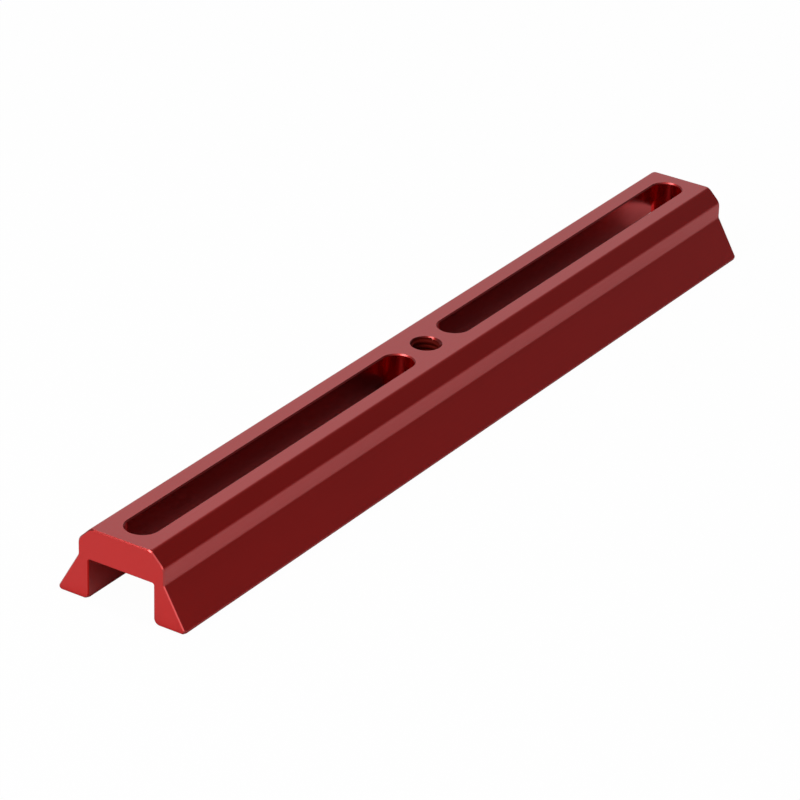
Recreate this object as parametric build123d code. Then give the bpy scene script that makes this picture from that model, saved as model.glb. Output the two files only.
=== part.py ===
"""A slotted dovetail mounting plate: one length of extruded aluminium, milled and edge-broken.

The frame stands at the centre of the base: +X runs along the bar, +Z points up from the two
feet to the flat top face. Lengths are in millimetres, angles in degrees.
"""
from build123d import *
from math import radians, tan
import os

# Extruded section, seen along the bar
length = 300.0
base_width = 44.8  # where the sloping flanks would meet the base plane
body_width = 29.5  # over the two upright walls above the flanks
height = 22.7  # feet to top face
flank_angle = 60.0  # between a flank and the base plane
shoulder_bevel = 4.3  # both legs of the 45 degree bevel beside the top face
channel_width = 22.5  # open channel between the two feet
web_thickness = 10.0  # solid metal between the top face and the channel

# Radii that the extrusion die leaves along the bar
top_round = 1.2  # top face to bevel
shoulder_round = 1.8  # bevel to upright wall
waist_round = 1.8  # upright wall to flank, an inside corner
tip_round = 0.7  # flank to foot
foot_round = 1.2  # foot to channel wall
roof_round = 0.7  # channel wall to channel roof, an inside corner
wall_limit = 0.9  # most of the upright wall that the rounds at its two ends may take

# Milled slots, one each side of the centre hole
slot_width = 10.2
slot_end_margin = 5.0  # metal left between a slot and the end of the bar
slot_inner_margin = 10.2  # from the middle of the bar to the inner end of a slot

# Tapped hole in the middle, a 3/8 inch camera thread with 16 turns to the inch
thread_major_diameter = 9.525
thread_pitch = 25.4 / 16
tap_drill_ratio = 1.0  # the drilled bore is the thread's outside diameter less this many pitches
mouth_overcut = 0.15  # how far the countersink stands outside the thread, on the radius

# Broken edges
end_break = 0.3  # 45 degree break round both cut ends
rim_break = 0.35  # 45 degree break round both rims of each slot

flank_height = (base_width - body_width) / 2 * tan(radians(flank_angle))
wall_height = height - shoulder_bevel - flank_height
wall_rounded = shoulder_round * tan(radians(22.5)) + waist_round * tan(radians(45 - flank_angle / 2))
wall_share = min(1, wall_limit * wall_height / wall_rounded)  # a short wall has smaller rounds
channel_height = height - web_thickness
slot_length = length / 2 - slot_end_margin - slot_inner_margin
slot_centre = slot_inner_margin + slot_length / 2
bore_radius = (thread_major_diameter - tap_drill_ratio * thread_pitch) / 2
mouth_radius = thread_major_diameter / 2 + mouth_overcut


def bar_section():
    """The closed outline across the bar, with every corner rounded as the die leaves it."""
    half = [
        (body_width / 2 - shoulder_bevel, height, top_round),
        (body_width / 2, height - shoulder_bevel, shoulder_round * wall_share),
        (body_width / 2, flank_height, waist_round * wall_share),
        (base_width / 2, 0, tip_round),
        (channel_width / 2, 0, foot_round),
        (channel_width / 2, channel_height, roof_round),
    ]
    corners = half + [(-across, up, radius) for across, up, radius in reversed(half)]
    points = [(across, up) for across, up, _ in corners]
    radii = [radius for _, _, radius in corners]
    with BuildSketch(Plane.YZ) as section:
        with BuildLine():
            FilletPolyline(*points, radius=radii, close=True)
        make_face()
    return section.sketch


def bar():
    """The extruded bar, cut to length, with the sharp edge of both cuts taken off."""
    blank = extrude(bar_section(), amount=length / 2, both=True)
    cut_ends = blank.faces().sort_by(Axis.X)
    return chamfer(cut_ends[0].edges() + cut_ends[-1].edges(), end_break)


def slot_cutter():
    """What the mill takes out for one slot: a straight-sided slot that flares at both rims."""
    top_rim = Plane.XY.offset(height)
    lower_rim = Plane.XY.offset(channel_height)
    at_rim = SlotOverall(slot_length + 2 * rim_break, slot_width + 2 * rim_break)
    through = SlotOverall(slot_length, slot_width)
    shaft = extrude(lower_rim * through, amount=web_thickness)
    top_flare = extrude(top_rim * at_rim, amount=-rim_break, taper=45)
    lower_flare = extrude(lower_rim * at_rim, amount=rim_break, taper=45)
    return shaft + top_flare + lower_flare


def hole_cutter():
    """The drilled bore of the tapped hole, with the 45 degree countersink at both mouths."""
    cone = mouth_radius - bore_radius
    outline = Polyline(
        (0, channel_height),
        (mouth_radius, channel_height),
        (bore_radius, channel_height + cone),
        (bore_radius, height - cone),
        (mouth_radius, height),
        (0, height),
        close=True,
    )
    return revolve(Plane.XZ * make_face(outline), Axis.Z)


def dovetail_plate():
    """The finished bar: two long slots and the tapped hole between them."""
    plate = bar() - hole_cutter()
    for side in (-1, 1):
        plate -= Pos(X=side * slot_centre) * slot_cutter()
    return plate


os.makedirs("parts", exist_ok=True)
export_step(dovetail_plate(), "parts/dovetail_plate.step")
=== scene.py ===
"""Dresses a slotted dovetail plate: a red anodised aluminium bar with a real screw thread.

The bar is modelled again with its rounded edges, its milled slots and the thread of its middle
hole, takes the place of the plain solid, and is lit and seen as a product photograph shows it.
Sizes in the classes are millimetres, and MM turns them into the scene's metres.
"""

import logging
import math
from dataclasses import dataclass, field, replace
from enum import Enum

import bmesh
import bpy
from mathutils import Euler, Matrix, Vector


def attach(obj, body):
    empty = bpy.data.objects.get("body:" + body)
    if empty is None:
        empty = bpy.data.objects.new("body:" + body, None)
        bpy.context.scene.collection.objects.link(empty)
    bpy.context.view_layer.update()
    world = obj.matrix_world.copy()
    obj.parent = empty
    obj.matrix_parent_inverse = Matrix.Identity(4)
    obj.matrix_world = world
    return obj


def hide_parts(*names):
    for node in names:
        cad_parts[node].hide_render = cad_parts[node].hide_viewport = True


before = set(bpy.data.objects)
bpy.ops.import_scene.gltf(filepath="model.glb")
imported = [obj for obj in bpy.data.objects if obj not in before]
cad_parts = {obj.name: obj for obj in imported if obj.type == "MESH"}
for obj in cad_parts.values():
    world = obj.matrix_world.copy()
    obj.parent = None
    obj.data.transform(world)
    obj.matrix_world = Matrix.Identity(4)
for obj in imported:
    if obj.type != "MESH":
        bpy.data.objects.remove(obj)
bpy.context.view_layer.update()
log = logging.getLogger("dovetail_plate")

MM = 0.001
INCH = 25.4
WELD = 0.002 * MM  # vertices nearer than this are one
ON_PLANE = WELD / 4  # vertices nearer to a cutting plane than this lie on it
LAMP_POWER = 4.0  # watts of an area lamp for a radiance of 1 and each square metre

Colour = tuple[float, float, float, float]


class Surface(Enum):
    """The kinds of surface that the bar has, in the order of its material slots."""

    EXTRUDED = 0
    SAWN_END = 1
    MILLED_SLOT = 2
    TAPPED_THREAD = 3
    BROKEN_EDGE = 4
    SLOT_RIM = 5
    COUNTERSINK = 6
    CHANNEL_EDGE = 7
    SLOT_END = 8


def dress(faces: bmesh.types.BMFaceSeq | list[bmesh.types.BMFace], surface: Surface) -> None:
    """Gives faces the material slot of one kind of surface."""
    for face in faces:
        face.material_index = surface.value


def with_middles(mesh: bmesh.types.BMesh) -> list[tuple[bmesh.types.BMFace, Vector]]:
    """Pairs each face of a mesh with its middle, in millimetres."""
    return [(face, face.calc_center_median() / MM) for face in mesh.faces]


def add_object(name: str, data: bpy.types.ID) -> bpy.types.Object:
    """Adds an object to the scene, at the origin.

    Args:
        name: The object's name.
        data: The mesh, lamp or camera that it shows.

    Returns:
        The new object.
    """
    thing = bpy.data.objects.new(name, data)
    bpy.context.scene.collection.objects.link(thing)
    return thing


@dataclass(frozen=True)
class Corner:
    """One corner of the section: how far across and up it lies, and its radius."""

    across: float
    up: float
    radius: float
    wear: float = 0.0  # how much further it is cut back at the ends of the bar


@dataclass(frozen=True)
class BarSection:
    """The outline across the bar, as the extrusion die leaves it."""

    base_width: float = 44.8
    body_width: float = 29.5
    height: float = 22.7
    flank_angle: float = math.radians(60)
    shoulder_bevel: float = 4.3
    channel_width: float = 22.5
    web_thickness: float = 10.0
    top_round: float = 1.2
    shoulder_round: float = 1.8
    waist_round: float = 1.8
    tip_round: float = 0.7
    foot_round: float = 1.2
    roof_round: float = 0.7
    shoulder_wear: float = 0.17  # further cut at the bar's ends, on both corners of the bevel
    foot_wear: float = 0.34  # and on both corners of the foot
    arc_steps: int = 7  # in each rounding

    @property
    def flank_height(self) -> float:
        """Height of the upper edge of the flanks."""
        return (self.base_width - self.body_width) / 2 * math.tan(self.flank_angle)

    @property
    def channel_height(self) -> float:
        """Height of the open channel under the web."""
        return self.height - self.web_thickness

    def corners(self) -> list[Corner]:
        """Lists the corners in order round the section.

        Returns:
            The corners of the one half, then those of its mirror image.
        """
        body, base, channel = self.body_width / 2, self.base_width / 2, self.channel_width / 2
        bevel_foot = self.height - self.shoulder_bevel
        half = [
            Corner(body - self.shoulder_bevel, self.height, self.top_round, self.shoulder_wear),
            Corner(body, bevel_foot, self.shoulder_round, self.shoulder_wear),
            Corner(body, self.flank_height, self.waist_round),
            Corner(base, 0.0, self.tip_round, self.foot_wear),
            Corner(channel, 0.0, self.foot_round, self.foot_wear),
            Corner(channel, self.channel_height, self.roof_round),
        ]
        return half + [replace(corner, across=-corner.across) for corner in reversed(half)]

    def arc(
        self,
        mesh: bmesh.types.BMesh,
        along: float,
        before: Vector,
        corner: Corner,
        after: Vector,
        worn: float,
    ) -> list[bmesh.types.BMVert]:
        """Draws the rounding of one corner by turning its first point about the arc's centre.

        Args:
            mesh: The mesh that gets the points.
            along: Where the section stands along the bar, in millimetres.
            before: The corner before this one, across and up.
            corner: The corner to round.
            after: The corner after it.
            worn: The share of the corner's wear that this section shows.

        Returns:
            The arc's vertices, in order.
        """
        place = Vector((corner.across, corner.up))
        inwards = (place - before).normalized()
        onwards = (after - place).normalized()
        turn = -inwards.angle_signed(onwards)
        radius = corner.radius + worn * corner.wear / (1 / math.cos(turn / 2) - 1)
        first = place - inwards * radius * math.tan(abs(turn) / 2)
        side = math.copysign(radius, turn)
        centre = first + Vector((-inwards.y, inwards.x)) * side
        start = mesh.verts.new(Vector((along, *first)) * MM)
        bmesh.ops.spin(
            mesh,
            geom=[start],
            cent=Vector((along, *centre)) * MM,
            axis=(1, 0, 0),
            angle=turn,
            steps=self.arc_steps,
        )
        return mesh.verts[:][-self.arc_steps - 1 :]

    def draw(self, mesh: bmesh.types.BMesh, along: float, worn: float) -> bmesh.types.BMFace:
        """Draws the section as one face across the bar, with its corners rounded.

        Args:
            mesh: The mesh that gets the face.
            along: Where the face stands along the bar, in millimetres.
            worn: The share of the corners' wear that this section shows.

        Returns:
            The finished face.
        """
        corners = self.corners()
        places = [Vector((corner.across, corner.up)) for corner in corners]
        outline = []
        for index, corner in enumerate(corners):
            after = places[(index + 1) % len(places)]
            outline += self.arc(mesh, along, places[index - 1], corner, after, worn)
        return mesh.faces.new(outline)


@dataclass(frozen=True)
class Slot:
    """A milled slot through the web, with a chamfer round both of its rims."""

    centre: float
    length: float
    width: float
    rim_break: float = 0.35
    # Both ends of the rim's chamfer, as shares of the break outwards and downwards
    rim_profile: tuple[tuple[float, float], ...] = ((0.0, 1.2), (1.0, 0.0))
    end_steps: int = 32  # in each quarter of its round ends
    overshoot: float = 1.0  # how far the cutter reaches past the web

    def loop(self, mesh: bmesh.types.BMesh, growth: float, up: float) -> list[bmesh.types.BMEdge]:
        """Draws the slot's outline once.

        Args:
            mesh: The mesh that gets the outline.
            growth: How far the outline stands outside the slot, in millimetres.
            up: Its height, in millimetres.

        Returns:
            The outline's edges.
        """
        half_width = self.width / 2 + growth
        place = Matrix.LocRotScale(
            Vector((self.centre, 0.0, up)) * MM,
            None,
            Vector((self.length + 2 * growth, 2 * half_width, 1.0)),
        )
        made = bmesh.ops.create_grid(mesh, x_segments=1, y_segments=1, size=MM / 2, matrix=place)
        rounded = bmesh.ops.bevel(
            mesh,
            geom=made["verts"],
            offset=half_width * MM,
            offset_type="OFFSET",
            segments=self.end_steps,
            profile=0.5,
            affect="VERTICES",
            material=-1,
        )
        face = next(iter(rounded["verts"][0].link_faces))
        bmesh.ops.remove_doubles(mesh, verts=list(face.verts), dist=WELD)
        edges = list(next(iter(mesh.faces)).edges)
        bmesh.ops.delete(mesh, geom=list(mesh.faces), context="FACES_ONLY")
        return edges

    def cutter(self, roof: float, top: float) -> bmesh.types.BMesh:
        """Makes the solid that the mill takes out.

        Args:
            roof: Height of the web's underside, in millimetres.
            top: Height of the web's top face, in millimetres.

        Returns:
            A closed mesh.
        """
        chamfer = [(self.rim_break * out, self.rim_break * down) for out, down in self.rim_profile]
        lower = [(growth, roof + inset) for growth, inset in reversed(chamfer)]
        upper = [(growth, top - inset) for growth, inset in chamfer]
        under = (self.rim_break, roof - self.overshoot)
        above = (self.rim_break, top + self.overshoot)
        stations = [under, *lower, *upper, above]
        mesh = bmesh.new()
        loops = [self.loop(mesh, growth, up) for growth, up in stations]
        for low, high in zip(loops, loops[1:]):
            bmesh.ops.bridge_loops(mesh, edges=low + high)
        bmesh.ops.holes_fill(mesh, edges=loops[0] + loops[-1])
        dress(mesh.faces, Surface.MILLED_SLOT)
        middles = with_middles(mesh)
        straight = (self.length - self.width) / 2
        ends = [face for face, place in middles if abs(place.x - self.centre) > straight]
        # The round ends get the finish with the painted sheen
        dress(ends, Surface.SLOT_END)
        depth = max(inset for _, inset in chamfer)
        rims = [face for face, place in middles if not roof + depth < place.z < top - depth]
        dress(rims, Surface.SLOT_RIM)
        return mesh


@dataclass(frozen=True)
class TappedHole:
    """The middle hole: a screw thread through the web, countersunk at both mouths.

    The thread has a blunt start: its first part turn is cut back, so it begins with a full crest.
    """

    major_diameter: float = INCH * 3 / 8
    pitch: float = INCH / 16  # 16 turns to the inch
    land: float = INCH / 16 / 8  # flat at the bottom of the groove
    half_angle: float = math.radians(30)
    mouth_overcut: float = 0.15
    start_angle: float = math.radians(9)  # where the thread begins, from +X towards +Y
    start_depth: float = 0.1  # how far below the face its crest begins
    blunt_radius: float = 4.6  # what the cut-back part turn leaves
    blunt_turn: float = math.radians(200)
    steps: int = 96  # in one turn
    overshoot: float = 0.6  # how far the cutters reach past what they cut

    @property
    def bore_radius(self) -> float:
        """Radius of the drilled bore, which the thread's crests leave."""
        return (self.major_diameter - self.pitch) / 2

    @property
    def mouth_radius(self) -> float:
        """Radius of the countersink's mouth."""
        return self.major_diameter / 2 + self.mouth_overcut

    @property
    def groove_slope(self) -> float:
        """Height of each sloping side of the groove."""
        return (self.major_diameter / 2 - self.bore_radius) * math.tan(self.half_angle)

    @property
    def crest(self) -> float:
        """Height of the crest's flat."""
        return self.pitch - self.land - 2 * self.groove_slope

    def wind(
        self, outline: list[tuple[float, float]], up: float, turn: float, closed: bool
    ) -> bmesh.types.BMesh:
        """Winds an outline about the hole's axis from the start angle, rising as the thread does.

        Args:
            outline: Its points, as radius and height, in millimetres.
            up: Height at which the outline starts, in millimetres.
            turn: How far it is wound, in radians.
            closed: Whether the last point joins the first.

        Returns:
            The wound skin, with its ends open.
        """
        mesh = bmesh.new()
        turned = Matrix.Rotation(self.start_angle, 3, "Z")
        places = [turned @ Vector((radius, 0.0, up + rise)) for radius, rise in outline]
        chain = [mesh.verts.new(place * MM) for place in places]
        after = chain[1:] + chain[:1] if closed else chain[1:]
        edges = [mesh.edges.new(pair) for pair in zip(chain, after)]
        steps = round(turn / math.tau * self.steps)
        bmesh.ops.spin(
            mesh,
            geom=chain + edges,
            cent=(0, 0, 0),
            axis=(0, 0, 1),
            dvec=(0, 0, self.pitch / self.steps * MM),
            angle=math.tau * steps / self.steps,
            steps=steps,
        )
        bmesh.ops.remove_doubles(mesh, verts=mesh.verts, dist=WELD)
        return mesh

    def closed(self, mesh: bmesh.types.BMesh) -> bmesh.types.BMesh:
        """Closes the open ends of a wound skin, and dresses it as thread.

        Args:
            mesh: The skin.

        Returns:
            The same mesh, closed.
        """
        bmesh.ops.holes_fill(mesh, edges=[edge for edge in mesh.edges if edge.is_boundary])
        dress(mesh.faces, Surface.TAPPED_THREAD)
        return mesh

    def tap(self, roof: float, top: float) -> bmesh.types.BMesh:
        """Makes the solid that the tap takes out, by winding one pitch of its outline upwards.

        Args:
            roof: Height of the web's underside, in millimetres.
            top: Height of the web's top face, in millimetres.

        Returns:
            A closed mesh.
        """
        major_radius = self.major_diameter / 2
        outline = [
            (self.bore_radius, 0.0),
            (self.bore_radius, self.crest),
            (major_radius, self.crest + self.groove_slope),
            (major_radius, self.crest + self.groove_slope + self.land),
            (self.bore_radius, self.pitch),
        ]
        low, high = roof - self.overshoot, top + self.overshoot
        turns = math.ceil((top - low) / self.pitch) + 1
        first = top - self.start_depth - self.crest / 2 - turns * self.pitch
        mesh = self.wind(outline, first, math.tau * (turns + 1), closed=False)
        for up, outwards in ((low, -1), (high, 1)):
            bmesh.ops.bisect_plane(
                mesh,
                geom=mesh.verts[:] + mesh.edges[:] + mesh.faces[:],
                dist=ON_PLANE,
                plane_co=(0, 0, up * MM),
                plane_no=(0, 0, outwards),
                clear_outer=True,
            )
        return self.closed(mesh)

    def blunt_start(self, top: float) -> bmesh.types.BMesh:
        """Makes the solid that cuts the thread's first part turn back.

        Args:
            top: Height of the web's top face, in millimetres.

        Returns:
            A closed mesh.
        """
        inner = self.bore_radius - self.overshoot
        half = self.crest / 2 + self.groove_slope
        outer, rise = self.blunt_radius, 2 * half
        outline = [(inner, 0.0), (outer, 0.0), (outer, rise), (inner, rise)]
        mesh = self.wind(outline, top - self.start_depth - half, self.blunt_turn, closed=True)
        return self.closed(mesh)

    def countersink(self, face: float, outwards: int) -> bmesh.types.BMesh:
        """Makes the 45 degree cone that the countersink takes out of one mouth.

        Args:
            face: Height of the face that the mouth is in, in millimetres.
            outwards: 1 where the mouth opens upwards and -1 where it opens downwards.

        Returns:
            A closed mesh.
        """
        inner = self.bore_radius - self.overshoot
        outer = self.mouth_radius + self.overshoot
        depth = outer - inner
        middle = face + outwards * (self.overshoot - depth / 2)
        turn = Matrix.Rotation(math.pi / self.steps, 4, "Z")  # half a step
        place = Matrix.Translation((0, 0, middle * MM)) @ turn
        mesh = bmesh.new()
        bmesh.ops.create_cone(
            mesh,
            cap_ends=True,
            segments=self.steps,
            radius1=(inner if outwards > 0 else outer) * MM,
            radius2=(outer if outwards > 0 else inner) * MM,
            depth=depth * MM,
            matrix=place,
        )
        dress(mesh.faces, Surface.COUNTERSINK)
        return mesh


@dataclass(frozen=True)
class AnodisedFinish:
    """A dyed and sealed oxide film over one kind of worked aluminium.

    The metal below shines through the dye, and the clear film on top reflects white.
    """

    name: str
    tone: Colour
    deep_tone: Colour  # what the tone turns to where the dye is thickest
    roughness: float
    roughness_spread: float
    film_roughness: float
    line_stretch: tuple[float, float, float]  # per millimetre; small along the tool's path
    line_depth: float  # height of the tool's lines, in millimetres
    grain_depth: float  # height of the etched grain, in millimetres
    film_weight: float = 1.0
    film_index: float = 1.6
    edge_tint: Colour = (0.9, 0.1, 0.1, 1.0)  # of the metal's reflection at a grazing angle

    def material(self, worked_skin: bpy.types.ShaderNodeTree) -> bpy.types.Material:
        """Builds the finish.

        Args:
            worked_skin: The node group that works out tone, roughness and height.

        Returns:
            The new material.
        """
        material = bpy.data.materials.new(self.name)
        material.use_nodes = True
        material.diffuse_color = self.tone
        nodes, links = material.node_tree.nodes, material.node_tree.links
        shader = nodes["Principled BSDF"]
        shader.inputs["Metallic"].default_value = 1.0
        shader.inputs["Specular Tint"].default_value = self.edge_tint
        shader.inputs["Coat Weight"].default_value = self.film_weight
        shader.inputs["Coat Roughness"].default_value = self.film_roughness
        shader.inputs["Coat IOR"].default_value = self.film_index
        place = nodes.new("ShaderNodeTexCoord")
        lines = nodes.new("ShaderNodeMapping")
        lines.inputs["Scale"].default_value = [scale / MM for scale in self.line_stretch]
        skin = nodes.new("ShaderNodeGroup")
        skin.node_tree = worked_skin
        skin.inputs["Tone"].default_value = self.tone
        skin.inputs["Deep Tone"].default_value = self.deep_tone
        skin.inputs["Roughness"].default_value = self.roughness
        skin.inputs["Roughness Spread"].default_value = self.roughness_spread
        skin.inputs["Line Depth"].default_value = self.line_depth * MM
        skin.inputs["Grain Depth"].default_value = self.grain_depth * MM
        bump = nodes.new("ShaderNodeBump")
        bump.inputs["Distance"].default_value = 1.0  # the height is in metres already
        links.new(place.outputs["Object"], skin.inputs["Place"])
        links.new(place.outputs["Object"], lines.inputs["Vector"])
        links.new(lines.outputs["Vector"], skin.inputs["Line Place"])
        links.new(skin.outputs["Tone"], shader.inputs["Base Color"])
        links.new(skin.outputs["Roughness"], shader.inputs["Roughness"])
        links.new(skin.outputs["Height"], bump.inputs["Height"])
        links.new(bump.outputs["Normal"], shader.inputs["Normal"])
        return material


# Several finishes below carry painted light or shade in their tone or film, as noted at each
FINISHES: dict[Surface, AnodisedFinish] = {
    Surface.EXTRUDED: AnodisedFinish(
        name="satin_red_extruded",
        tone=(0.52, 0.0070, 0.0025, 1.0),
        deep_tone=(0.48, 0.0055, 0.0015, 1.0),
        roughness=0.56,
        roughness_spread=0.10,
        film_roughness=0.22,
        line_stretch=(0.012, 2.2, 2.2),
        line_depth=0.0016,
        grain_depth=0.0022,
        film_weight=0.82,
    ),
    Surface.SAWN_END: AnodisedFinish(
        name="satin_red_cut_end_lit",
        # Partly painted light: the tone is set lighter than the extruded faces' because the end
        # faces the softbox
        tone=(0.64, 0.0090, 0.0065, 1.0),
        deep_tone=(0.60, 0.0075, 0.0055, 1.0),
        roughness=0.56,
        roughness_spread=0.08,
        film_roughness=0.30,
        line_stretch=(0.5, 0.05, 2.6),
        line_depth=0.0012,
        grain_depth=0.002,
        film_weight=0.68,
    ),
    Surface.MILLED_SLOT: AnodisedFinish(
        name="glossy_red_milled_sheen",
        # Partly painted sheen: the tone is set lighter than the extruded faces' to brighten the
        # slot walls' reflections
        tone=(0.64, 0.026, 0.016, 1.0),
        deep_tone=(0.60, 0.024, 0.014, 1.0),
        roughness=0.20,
        roughness_spread=0.04,
        film_roughness=0.22,
        line_stretch=(0.6, 0.6, 3.0),
        line_depth=0.0008,
        grain_depth=0.0006,
        film_weight=0.85,
    ),
    Surface.TAPPED_THREAD: AnodisedFinish(
        name="matt_red_thread_painted_shade",
        # Painted shade: the tone is far darker than the rest to stand for the shade inside the bore
        tone=(0.18, 0.008, 0.004, 1.0),
        deep_tone=(0.16, 0.007, 0.003, 1.0),
        roughness=0.78,
        roughness_spread=0.05,
        film_roughness=0.40,
        line_stretch=(0.4, 0.4, 6.0),
        line_depth=0.0008,
        grain_depth=0.0008,
        film_weight=0.15,
    ),
    Surface.BROKEN_EDGE: AnodisedFinish(
        name="satin_red_broken_edge",
        tone=(0.44, 0.006, 0.004, 1.0),
        deep_tone=(0.40, 0.005, 0.003, 1.0),
        roughness=0.26,
        roughness_spread=0.04,
        film_roughness=0.20,
        line_stretch=(0.5, 0.5, 0.5),
        line_depth=0.0004,
        grain_depth=0.0008,
    ),
    Surface.SLOT_RIM: AnodisedFinish(
        name="satin_red_slot_rim",
        tone=(0.44, 0.008, 0.005, 1.0),
        deep_tone=(0.40, 0.007, 0.004, 1.0),
        roughness=0.42,
        roughness_spread=0.06,
        film_roughness=0.28,
        line_stretch=(0.5, 0.5, 0.5),
        line_depth=0.0004,
        grain_depth=0.0010,
        film_weight=0.9,
    ),
    Surface.COUNTERSINK: AnodisedFinish(
        name="glossy_red_countersink_shaded",
        # Painted shade: the tone is darkened to stand for the shade in the hole's mouth
        tone=(0.27, 0.008, 0.005, 1.0),
        deep_tone=(0.24, 0.007, 0.004, 1.0),
        roughness=0.30,
        roughness_spread=0.05,
        film_roughness=0.18,
        line_stretch=(0.6, 0.6, 3.0),
        line_depth=0.0006,
        grain_depth=0.0006,
        film_weight=0.6,
    ),
    Surface.CHANNEL_EDGE: AnodisedFinish(
        name="matt_red_channel_edge_shaded",
        # Painted shade: a copy of the broken edge's finish with a weak film, so the channel's edge
        # mirrors less of the lit floor
        tone=(0.44, 0.006, 0.004, 1.0),
        deep_tone=(0.40, 0.005, 0.003, 1.0),
        roughness=0.45,
        roughness_spread=0.05,
        film_roughness=0.30,
        line_stretch=(0.5, 0.5, 0.5),
        line_depth=0.0004,
        grain_depth=0.0010,
        film_weight=0.1,
    ),
    Surface.SLOT_END: AnodisedFinish(
        name="glossy_red_slot_end_sheen",
        # Painted sheen: this lighter copy of the milled finish stands for the red streak on the
        # slots' round ends
        tone=(0.92, 0.010, 0.010, 1.0),
        deep_tone=(0.88, 0.008, 0.008, 1.0),
        roughness=0.22,
        roughness_spread=0.04,
        film_roughness=0.22,
        line_stretch=(0.6, 0.6, 3.0),
        line_depth=0.0008,
        grain_depth=0.0006,
        film_weight=0.35,
    ),
}


@dataclass
class WorkedSkin:
    """The node group that every finish shares: cloudy dye, tool lines and etched grain."""

    name: str = "worked_skin"
    cloud_scale: float = 0.035  # per millimetre
    cloud_detail: float = 3.0
    grain_scale: float = 9.0  # per millimetre
    grain_detail: float = 2.0
    line_scale: float = 1.0  # each finish stretches the place that the lines read
    line_detail: float = 4.0
    noise_mean: float = 0.5
    sockets: dict[str, str] = field(
        default_factory=lambda: {
            "Place": "NodeSocketVector",
            "Line Place": "NodeSocketVector",
            "Tone": "NodeSocketColor",
            "Deep Tone": "NodeSocketColor",
            "Roughness": "NodeSocketFloat",
            "Roughness Spread": "NodeSocketFloat",
            "Line Depth": "NodeSocketFloat",
            "Grain Depth": "NodeSocketFloat",
        }
    )

    def noise(
        self,
        tree: bpy.types.ShaderNodeTree,
        place: bpy.types.NodeSocket,
        scale: float,
        detail: float,
    ) -> bpy.types.NodeSocket:
        """Adds a noise texture.

        Args:
            tree: The tree that gets it.
            place: Where it reads its place.
            scale: Its scale, per metre of the place that it reads.
            detail: How many octaves it has.

        Returns:
            The noise's value, from 0 to 1.
        """
        noise = tree.nodes.new("ShaderNodeTexNoise")
        noise.inputs["Scale"].default_value = scale
        noise.inputs["Detail"].default_value = detail
        tree.links.new(place, noise.inputs["Vector"])
        return noise.outputs["Fac"]

    def scaled(
        self,
        tree: bpy.types.ShaderNodeTree,
        value: bpy.types.NodeSocket,
        amount: bpy.types.NodeSocket,
        base: bpy.types.NodeSocket | None = None,
    ) -> bpy.types.NodeSocket:
        """Multiplies the part of a noise above or below its mean, and adds it to a base.

        Args:
            tree: The tree that gets the nodes.
            value: A noise with a mean of one half.
            amount: What the noise is multiplied by.
            base: What the result is added to, if anything.

        Returns:
            The result.
        """
        centred = tree.nodes.new("ShaderNodeMath")
        centred.operation = "SUBTRACT"
        centred.inputs[1].default_value = self.noise_mean
        tree.links.new(value, centred.inputs[0])
        result = tree.nodes.new("ShaderNodeMath")
        result.operation = "MULTIPLY_ADD"
        tree.links.new(centred.outputs[0], result.inputs[0])
        tree.links.new(amount, result.inputs[1])
        if base is None:
            result.inputs[2].default_value = 0.0
        else:
            tree.links.new(base, result.inputs[2])
        return result.outputs[0]

    def build(self) -> bpy.types.ShaderNodeTree:
        """Builds the group.

        Returns:
            The new node group.
        """
        tree = bpy.data.node_groups.new(self.name, "ShaderNodeTree")
        for socket, kind in self.sockets.items():
            tree.interface.new_socket(socket, in_out="INPUT", socket_type=kind)
        tree.interface.new_socket("Tone", in_out="OUTPUT", socket_type="NodeSocketColor")
        tree.interface.new_socket("Roughness", in_out="OUTPUT", socket_type="NodeSocketFloat")
        tree.interface.new_socket("Height", in_out="OUTPUT", socket_type="NodeSocketFloat")
        given = tree.nodes.new("NodeGroupInput").outputs
        result = tree.nodes.new("NodeGroupOutput").inputs
        clouds = self.noise(tree, given["Place"], self.cloud_scale / MM, self.cloud_detail)
        grain = self.noise(tree, given["Place"], self.grain_scale / MM, self.grain_detail)
        lines = self.noise(tree, given["Line Place"], self.line_scale, self.line_detail)
        tone = tree.nodes.new("ShaderNodeMix")
        tone.data_type = "RGBA"
        tree.links.new(clouds, tone.inputs["Factor"])
        tree.links.new(given["Tone"], tone.inputs["A"])
        tree.links.new(given["Deep Tone"], tone.inputs["B"])
        tree.links.new(tone.outputs["Result"], result["Tone"])
        roughness = self.scaled(tree, lines, given["Roughness Spread"], given["Roughness"])
        tree.links.new(roughness, result["Roughness"])
        line_height = self.scaled(tree, lines, given["Line Depth"])
        height = self.scaled(tree, grain, given["Grain Depth"], line_height)
        tree.links.new(height, result["Height"])
        return tree


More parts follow.
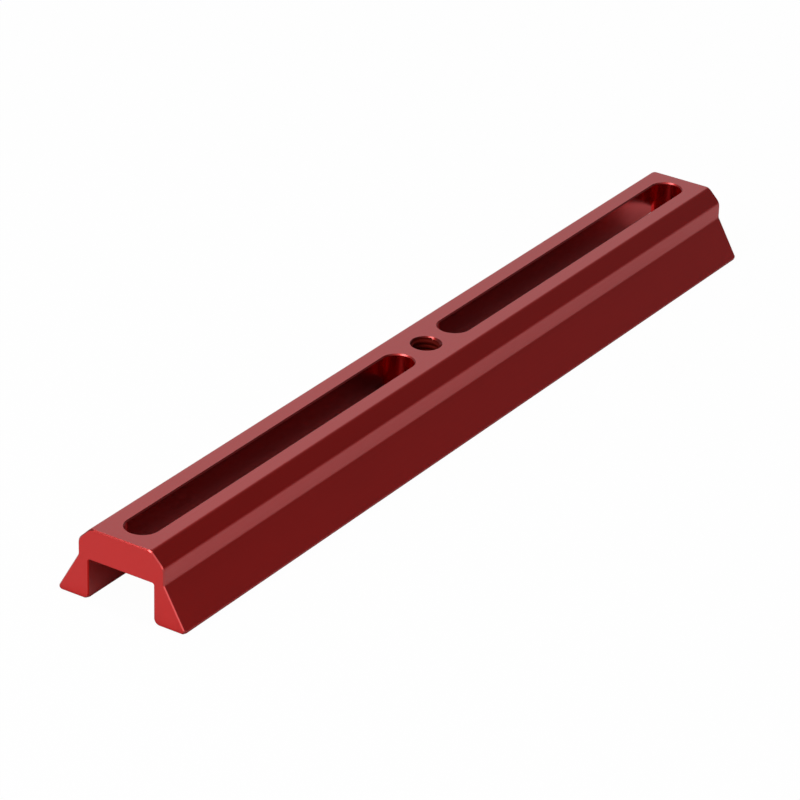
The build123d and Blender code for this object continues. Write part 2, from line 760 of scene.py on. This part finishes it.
@dataclass
class DovetailPlate:
    """The bar itself: its section, its two slots and the tapped hole between them."""

    name: str = "anodised_plate"
    node: str = "dovetail_plate"
    slot_name: str = "red_anodised"
    length: float = 300.0
    slot_width: float = 10.2
    slot_end_margin: float = 5.0
    slot_inner_margin: float = 10.2
    end_break: float = 0.3
    wear_reach: float = 1.2  # how far along the bar the wear of its ends fades out
    crease: float = math.radians(38)  # edges that turn more than this stay sharp
    area_weight: int = 100  # how far large faces outweigh small ones in the shading
    section: BarSection = field(default_factory=BarSection)
    hole: TappedHole = field(default_factory=TappedHole)

    def slots(self) -> list[Slot]:
        """Works out the two slots from the bar's length and margins.

        Returns:
            The slot on the -X side, then the one on the +X side.
        """
        length = self.length / 2 - self.slot_end_margin - self.slot_inner_margin
        centre = self.slot_inner_margin + length / 2
        return [Slot(side * centre, length, self.slot_width) for side in (-1, 1)]

    def in_channel(self, place: Vector) -> bool:
        """Whether a point of the bar's end, in millimetres, lies on the channel's edge."""
        beside = abs(place.y) < self.section.channel_width / 2 + self.end_break
        return beside and place.z < self.section.channel_height + self.end_break

    def blank(self) -> bmesh.types.BMesh:
        """Extrudes the section to the bar's length and softens both cut ends.

        Returns:
            The closed bar, before the slots and the hole.
        """
        mesh = bmesh.new()
        end, inner = self.length / 2, self.length / 2 - self.wear_reach
        stations = ((-end, 1.0), (-inner, 0.0), (inner, 0.0), (end, 1.0))
        faces = [self.section.draw(mesh, along, worn) for along, worn in stations]
        rings = [list(face.edges) for face in faces]
        bmesh.ops.delete(mesh, geom=faces[1:-1], context="FACES_ONLY")
        for near, far in zip(rings, rings[1:]):
            bmesh.ops.bridge_loops(mesh, edges=near + far)
        bmesh.ops.recalc_face_normals(mesh, faces=mesh.faces)
        rims = rings[0] + rings[-1]
        bmesh.ops.bevel(
            mesh,
            geom=rims,
            offset=self.end_break * MM,
            offset_type="OFFSET",
            segments=1,
            profile=0.5,
            affect="EDGES",
            material=-1,
        )
        middles = with_middles(mesh)
        breaks = [(face, place) for face, place in middles if end - abs(place.x) < self.end_break]
        dress([face for face, _ in breaks], Surface.BROKEN_EDGE)
        # The channel's edge gets the copy of the broken edge's finish with painted shade
        dress([face for face, place in breaks if self.in_channel(place)], Surface.CHANNEL_EDGE)
        cuts = [face for face, place in breaks if end - abs(place.x) < WELD / MM]
        dress(cuts, Surface.SAWN_END)
        return mesh

    def cutters(self) -> list[bmesh.types.BMesh]:
        """Makes everything that is cut out of the bar.

        Returns:
            The two slots, the thread, its blunt start and the two countersinks.
        """
        roof, top = self.section.channel_height, self.section.height
        return [
            *(slot.cutter(roof, top) for slot in self.slots()),
            self.hole.tap(roof, top),
            self.hole.blunt_start(top),
            self.hole.countersink(top, 1),
            self.hole.countersink(roof, -1),
        ]

    def to_object(
        self, mesh: bmesh.types.BMesh, name: str, materials: list[bpy.types.Material]
    ) -> bpy.types.Object:
        """Turns a mesh into an object of the scene.

        Args:
            mesh: The mesh, which is freed.
            name: The object's name.
            materials: The materials of its slots.

        Returns:
            The new object, at the origin.
        """
        bmesh.ops.recalc_face_normals(mesh, faces=mesh.faces)
        data = bpy.data.meshes.new(name)
        mesh.to_mesh(data)
        mesh.free()
        for material in materials:
            data.materials.append(material)
        return add_object(name, data)

    def cut(self, bar: bpy.types.Object, cutter: bpy.types.Object) -> None:
        """Takes one solid out of the bar for good.

        Args:
            bar: The bar.
            cutter: What is taken out, which is removed.
        """
        boolean = bar.modifiers.new("cut", "BOOLEAN")
        boolean.operation = "DIFFERENCE"
        boolean.solver = "EXACT"
        boolean.material_mode = "INDEX"
        boolean.object = cutter
        self.bake_modifiers(bar)
        bpy.data.objects.remove(cutter)

    def bake_modifiers(self, bar: bpy.types.Object) -> None:
        """Replaces the bar's mesh by what its modifiers make of it.

        Args:
            bar: The bar.
        """
        seen = bar.evaluated_get(bpy.context.evaluated_depsgraph_get())
        shaped = bpy.data.meshes.new_from_object(seen)
        bar.modifiers.clear()
        bar.data = shaped

    def soften(self, bar: bpy.types.Object) -> None:
        """Welds the cut mesh and lets its rounds shade smoothly into the flat faces.

        Args:
            bar: The bar, with everything cut out of it.
        """
        mesh = bmesh.new()
        mesh.from_mesh(bar.data)
        bmesh.ops.remove_doubles(mesh, verts=mesh.verts, dist=WELD)
        bmesh.ops.dissolve_degenerate(mesh, edges=mesh.edges, dist=WELD)
        # The weld can leave an edge that no face uses
        strays = [edge for edge in mesh.edges if edge.is_wire]
        bmesh.ops.delete(mesh, geom=strays, context="EDGES")
        for face in mesh.faces:
            face.smooth = True
        faulty = sum(not edge.is_manifold for edge in mesh.edges)
        log.info("open or doubled edges after the cuts: %d", faulty)
        mesh.to_mesh(bar.data)
        mesh.free()
        bar.data.set_sharp_from_angle(angle=self.crease)
        weighted = bar.modifiers.new("weighted", "WEIGHTED_NORMAL")
        weighted.keep_sharp = True
        weighted.weight = self.area_weight
        self.bake_modifiers(bar)

    def build(self) -> bpy.types.Object:
        """Builds and dresses the bar, and lets it stand for the plain solid.

        Returns:
            The finished bar.
        """
        skin = WorkedSkin().build()
        materials = [FINISHES[surface].material(skin) for surface in Surface]
        bar = self.to_object(self.blank(), self.name, materials)
        for cutter in self.cutters():
            self.cut(bar, self.to_object(cutter, "cutter", materials))
        self.soften(bar)
        bar.data.name = self.name
        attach(bar, "root")
        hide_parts(self.node)
        return bar


def direction(azimuth: float, elevation: float) -> Vector:
    """Works out a unit vector from the plate.

    Args:
        azimuth: Degrees from +X towards +Y.
        elevation: Degrees above the floor.

    Returns:
        The vector.
    """
    around, above = math.radians(azimuth), math.radians(elevation)
    level = math.cos(above)
    return Vector((level * math.cos(around), level * math.sin(around), math.sin(above)))


@dataclass(frozen=True)
class SkyPatch:
    """A soft-edged part of the studio's tent that is lighter or darker than the rest."""

    name: str
    azimuth: float  # degrees from +X towards +Y
    elevation: float  # degrees above the floor
    width: float  # degrees from its middle to where it has faded away
    change: float  # radiance that it adds in its middle; 1 is white


@dataclass(frozen=True)
class Softbox:
    """A square soft lamp that faces the middle of the plate."""

    azimuth: float = 165.0  # degrees from +X towards +Y
    elevation: float = 48.0
    distance: float = 1.3  # metres
    size: float = 0.65  # metres along each side
    radiance: float = 5.9

    def build(self) -> None:
        """Adds the lamp to the scene."""
        light = bpy.data.lights.new("key_softbox", "AREA")
        light.shape = "SQUARE"
        light.size = self.size
        light.energy = LAMP_POWER * self.radiance * self.size**2
        lamp = add_object("key_softbox", light)
        away = direction(self.azimuth, self.elevation)
        turn = away.to_track_quat("Z", "Y").to_matrix().to_4x4()
        lamp.matrix_world = Matrix.Translation(away * self.distance) @ turn
        lamp.visible_camera = False


@dataclass
class Studio:
    """A white floor in a soft tent, with one softbox."""

    floor_size: float = 12.0  # metres
    floor_drop: float = 0.02  # millimetres under the feet
    floor_albedo: float = 0.80
    painted_shade_albedo: float = 0.42  # painted shade: the floor's albedo under the plate
    painted_shade_reach: float = 2.5  # millimetres round the plate in which the painted shade rises to the floor's own albedo
    seen_white: float = 0.98  # share of the floor that is plain white to the camera
    mirrored_white: float = 0.10  # and in a reflection
    plate_half: tuple[float, float] = (150.0, 22.0)  # millimetres
    shade_reach: float = 25.0  # how far the plate dims the floor's glow, in millimetres
    room: float = 0.30  # what surfaces mirror where the tent has no patch
    tent_colour: Colour = (0.98, 0.98, 1.0, 1.0)
    patches: tuple[SkyPatch, ...] = (
        SkyPatch("backdrop", 44.0, 29.0, 38.0, 0.84),
        SkyPatch("low_front", 208.0, 2.0, 65.0, 1.95),
        SkyPatch("dark_side", -60.0, 33.0, 68.0, -0.255),
    )
    softbox: Softbox = Softbox()

    def plate_distance(self, tree: bpy.types.ShaderNodeTree) -> bpy.types.NodeSocket:
        """Adds the nodes that work out how far a point of the floor lies from the plate's feet.

        Args:
            tree: The floor material's tree.

        Returns:
            The distance, in metres.
        """
        place = tree.nodes.new("ShaderNodeTexCoord").outputs["Object"]
        steps = (
            ("ABSOLUTE", None),
            ("SUBTRACT", (self.plate_half[0] * MM, self.plate_half[1] * MM, 0.0)),
            ("MAXIMUM", (0.0, 0.0, 0.0)),
            ("MULTIPLY", (1.0, 1.0, 0.0)),
            ("LENGTH", None),
        )
        for operation, other in steps:
            node = tree.nodes.new("ShaderNodeVectorMath")
            node.operation = operation
            tree.links.new(place, node.inputs[0])
            if other is not None:
                node.inputs[1].default_value = other
            place = node.outputs["Value" if operation == "LENGTH" else "Vector"]
        return place

    def floor_material(self) -> bpy.types.Material:
        """Makes the floor: white to the camera, grey in reflections, and darker under the plate as
        painted shade.

        Returns:
            The new material.
        """
        material = bpy.data.materials.new("white_floor")
        material.use_nodes = True
        tree = material.node_tree
        nodes, links = tree.nodes, tree.links
        paper = nodes["Principled BSDF"]
        # Painted shade: the floor's albedo is lowered under the plate and rises to its own within
        # the reach round it
        albedo = nodes.new("ShaderNodeMapRange")
        albedo.inputs["From Max"].default_value = self.painted_shade_reach * MM
        albedo.inputs["To Min"].default_value = self.painted_shade_albedo
        albedo.inputs["To Max"].default_value = self.floor_albedo
        paper.inputs["Roughness"].default_value = 1.0
        paper.inputs["Specular IOR Level"].default_value = 0.0
        path = nodes.new("ShaderNodeLightPath")
        shade = nodes.new("ShaderNodeMapRange")
        shade.interpolation_type = "SMOOTHSTEP"
        shade.inputs["From Max"].default_value = self.shade_reach * MM
        shade.inputs["To Max"].default_value = self.mirrored_white
        share = nodes.new("ShaderNodeMath")
        share.operation = "MULTIPLY"
        seen = nodes.new("ShaderNodeMath")
        seen.operation = "MULTIPLY_ADD"
        seen.inputs[1].default_value = self.seen_white
        glow = nodes.new("ShaderNodeEmission")
        mix = nodes.new("ShaderNodeMixShader")
        distance = self.plate_distance(tree)
        links.new(distance, albedo.inputs["Value"])
        links.new(albedo.outputs["Result"], paper.inputs["Base Color"])
        links.new(distance, shade.inputs["Value"])
        links.new(path.outputs["Is Glossy Ray"], share.inputs[0])
        links.new(shade.outputs["Result"], share.inputs[1])
        links.new(path.outputs["Is Camera Ray"], seen.inputs[0])
        links.new(share.outputs[0], seen.inputs[2])
        links.new(seen.outputs[0], mix.inputs["Fac"])
        links.new(paper.outputs["BSDF"], mix.inputs[1])
        links.new(glow.outputs["Emission"], mix.inputs[2])
        links.new(mix.outputs["Shader"], nodes["Material Output"].inputs["Surface"])
        return material

    def floor(self) -> None:
        """Lays the floor just under the plate's feet."""
        mesh = bmesh.new()
        drop = Matrix.Translation((0, 0, -self.floor_drop * MM))
        half = self.floor_size / 2
        bmesh.ops.create_grid(mesh, x_segments=1, y_segments=1, size=half, matrix=drop)
        data = bpy.data.meshes.new("floor")
        mesh.to_mesh(data)
        mesh.free()
        data.materials.append(self.floor_material())
        thing = add_object("floor", data)

    def patch_strength(
        self, tree: bpy.types.ShaderNodeTree, patch: SkyPatch, below: bpy.types.NodeSocket
    ) -> bpy.types.NodeSocket:
        """Adds one patch to the tent.

        Args:
            tree: The world's tree.
            patch: The patch.
            below: The strength so far.

        Returns:
            The strength with the patch added.
        """
        nodes, links = tree.nodes, tree.links
        place = nodes.new("ShaderNodeTexCoord")
        aligned = nodes.new("ShaderNodeVectorMath")
        aligned.operation = "DOT_PRODUCT"
        aligned.inputs[1].default_value = direction(patch.azimuth, patch.elevation)
        angle = nodes.new("ShaderNodeMath")
        angle.operation = "ARCCOSINE"
        fade = nodes.new("ShaderNodeMapRange")
        fade.interpolation_type = "SMOOTHSTEP"
        fade.inputs["From Min"].default_value = math.radians(patch.width)
        fade.inputs["From Max"].default_value = 0.0
        fade.inputs["To Max"].default_value = patch.change
        total = nodes.new("ShaderNodeMath")
        links.new(place.outputs["Generated"], aligned.inputs[0])
        links.new(aligned.outputs["Value"], angle.inputs[0])
        links.new(angle.outputs[0], fade.inputs["Value"])
        links.new(fade.outputs["Result"], total.inputs[0])
        links.new(below, total.inputs[1])
        return total.outputs[0]

    def world(self) -> None:
        """Makes the tent: white behind the plate for the camera, and softly uneven otherwise."""
        world = bpy.data.worlds.new("tent")
        world.use_nodes = True
        tree = world.node_tree
        nodes, links = tree.nodes, tree.links
        backdrop = nodes["Background"]
        backdrop.inputs["Color"].default_value = self.tent_colour
        path = nodes.new("ShaderNodeLightPath")
        base = nodes.new("ShaderNodeValue")
        base.outputs[0].default_value = self.room
        light = base.outputs[0]
        for patch in self.patches:
            light = self.patch_strength(tree, patch, light)
        strength = nodes.new("ShaderNodeMix")
        strength.inputs["B"].default_value = 1.0
        links.new(path.outputs["Is Camera Ray"], strength.inputs["Factor"])
        links.new(light, strength.inputs["A"])
        links.new(strength.outputs["Result"], backdrop.inputs["Strength"])
        bpy.context.scene.world = world

    def build(self) -> None:
        """Sets the whole studio up."""
        self.floor()
        self.world()
        self.softbox.build()
        bpy.context.scene.view_settings.view_transform = "Standard"


@dataclass(frozen=True)
class PhotoCamera:
    """The photograph's viewpoint, as worked out from the plate's own edges."""

    azimuth: float = -56.624  # degrees; 0 looks along +Y
    elevation: float = 27.269
    roll: float = 1.570
    aim: tuple[float, float, float] = (-28.193, -9.791, 18.293)  # millimetres
    distance: float = 1222.8
    lens: float = 187.327  # millimetres
    sensor_width: float = 36.0  # millimetres
    nearest: float = 0.05  # metres; nothing nearer is seen

    def build(self) -> bpy.types.Object:
        """Adds the camera and makes it the scene's own.

        Returns:
            The new camera.
        """
        turn = Euler((math.radians(90 - self.elevation), 0, math.radians(self.azimuth))).to_matrix()
        turn = turn @ Matrix.Rotation(math.radians(self.roll), 3, "Z")
        data = bpy.data.cameras.new("photo_camera")
        data.lens = self.lens
        data.sensor_width = self.sensor_width
        data.clip_start = self.nearest
        camera = add_object("photo_camera", data)
        away = turn @ Vector((0, 0, self.distance * MM))
        place = Vector(self.aim) * MM + away
        camera.matrix_world = Matrix.Translation(place) @ turn.to_4x4()
        bpy.context.scene.camera = camera
        return camera


def main() -> None:
    """Builds the plate, its studio and the camera, and reports each."""
    logging.basicConfig(level=logging.INFO, format="%(name)s %(message)s")
    bar = DovetailPlate().build()
    log.info("%s: %d faces", bar.name, len(bar.data.polygons))
    studio = Studio()
    studio.build()
    log.info("studio: floor, tent with %d patches and a softbox", len(studio.patches))
    camera = PhotoCamera().build()
    log.info("camera at %s", tuple(round(value, 4) for value in camera.location))


if __name__ == "__main__":
    main()
